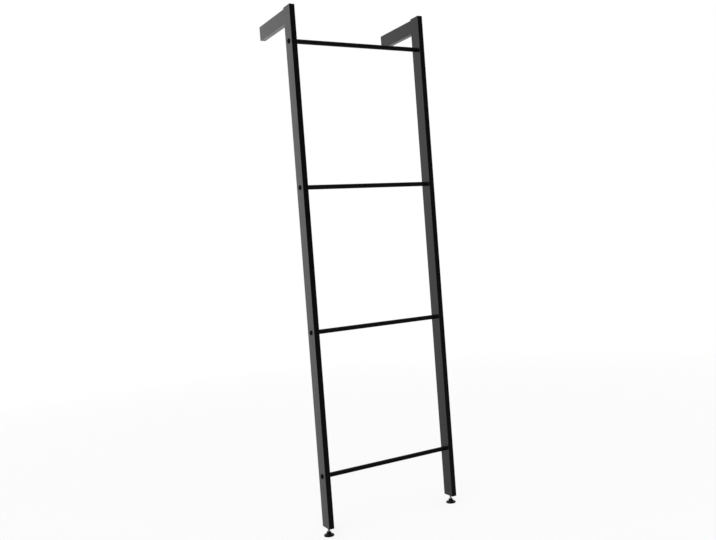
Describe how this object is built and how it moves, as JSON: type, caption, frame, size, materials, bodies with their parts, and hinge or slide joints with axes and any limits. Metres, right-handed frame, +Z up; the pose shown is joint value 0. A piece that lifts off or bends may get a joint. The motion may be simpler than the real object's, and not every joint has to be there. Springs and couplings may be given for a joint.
{
  "type": "towel ladder",
  "caption": "Upright ladder of steel tube with round rungs for towels, two arms that fix it to a wall and two levelling feet.",
  "frame": {"origin": "on the floor, midway across the ladder and midway between the fronts of the uprights and the wall", "axes": "+Z up, +Y from the front towards the wall, +X to the right seen from the front"},
  "size_m": [0.556, 0.267, 1.829],
  "materials": {
    "powder_coat": "satin black powder coat",
    "black_screw": "black zinc plated steel",
    "zinc": "bright zinc plated steel",
    "black_polyamide": "moulded black polyamide"
  },
  "bodies": {
    "frame": {"left_upright": "powder_coat", "left_arm": "powder_coat", "left_rung_screws": "black_screw", "left_spacer_sleeves": "zinc", "left_rung_inserts": "zinc", "left_top_plug": "black_polyamide", "left_foot_socket": "black_polyamide", "left_foot_nut": "zinc", "left_wall_bracket": "zinc", "left_bracket_screw": "black_screw", "right_upright": "powder_coat", "right_arm": "powder_coat", "right_rung_screws": "black_screw", "right_spacer_sleeves": "zinc", "right_rung_inserts": "zinc", "right_top_plug": "black_polyamide", "right_foot_socket": "black_polyamide", "right_foot_nut": "zinc", "right_wall_bracket": "zinc", "right_bracket_screw": "black_screw", "rung_1": "powder_coat", "rung_2": "powder_coat", "rung_3": "powder_coat", "rung_4": "powder_coat"},
    "left_foot": {"left_foot_pad": "black_polyamide"},
    "left_spindle": {"left_foot_spindle": "zinc"},
    "right_foot": {"right_foot_pad": "black_polyamide"},
    "right_spindle": {"right_foot_spindle": "zinc"}
  },
  "joints": [
    {"name": "left_foot_height", "type": "slide", "parent": "frame", "child": "left_foot", "axis": [0, 0, -1], "range_m": [-0.009, 0.015]},
    {"name": "left_spindle_turn", "type": "hinge", "parent": "left_foot", "child": "left_spindle", "pos_m": [-0.26, -0.1085, 0.0075], "axis": [0, 0, -1], "range_deg": [-2600, 4330]},
    {"name": "right_foot_height", "type": "slide", "parent": "frame", "child": "right_foot", "axis": [0, 0, -1], "range_m": [-0.009, 0.015]},
    {"name": "right_spindle_turn", "type": "hinge", "parent": "right_foot", "child": "right_spindle", "pos_m": [0.26, -0.1085, 0.0075], "axis": [0, 0, -1], "range_deg": [-2600, 4330]}
  ],
  "couplings": [
    {"joint": "left_spindle_turn", "follows": "left_foot_height", "rad_per_m": 5026.5},
    {"joint": "right_spindle_turn", "follows": "right_foot_height", "rad_per_m": 5026.5}
  ]
}
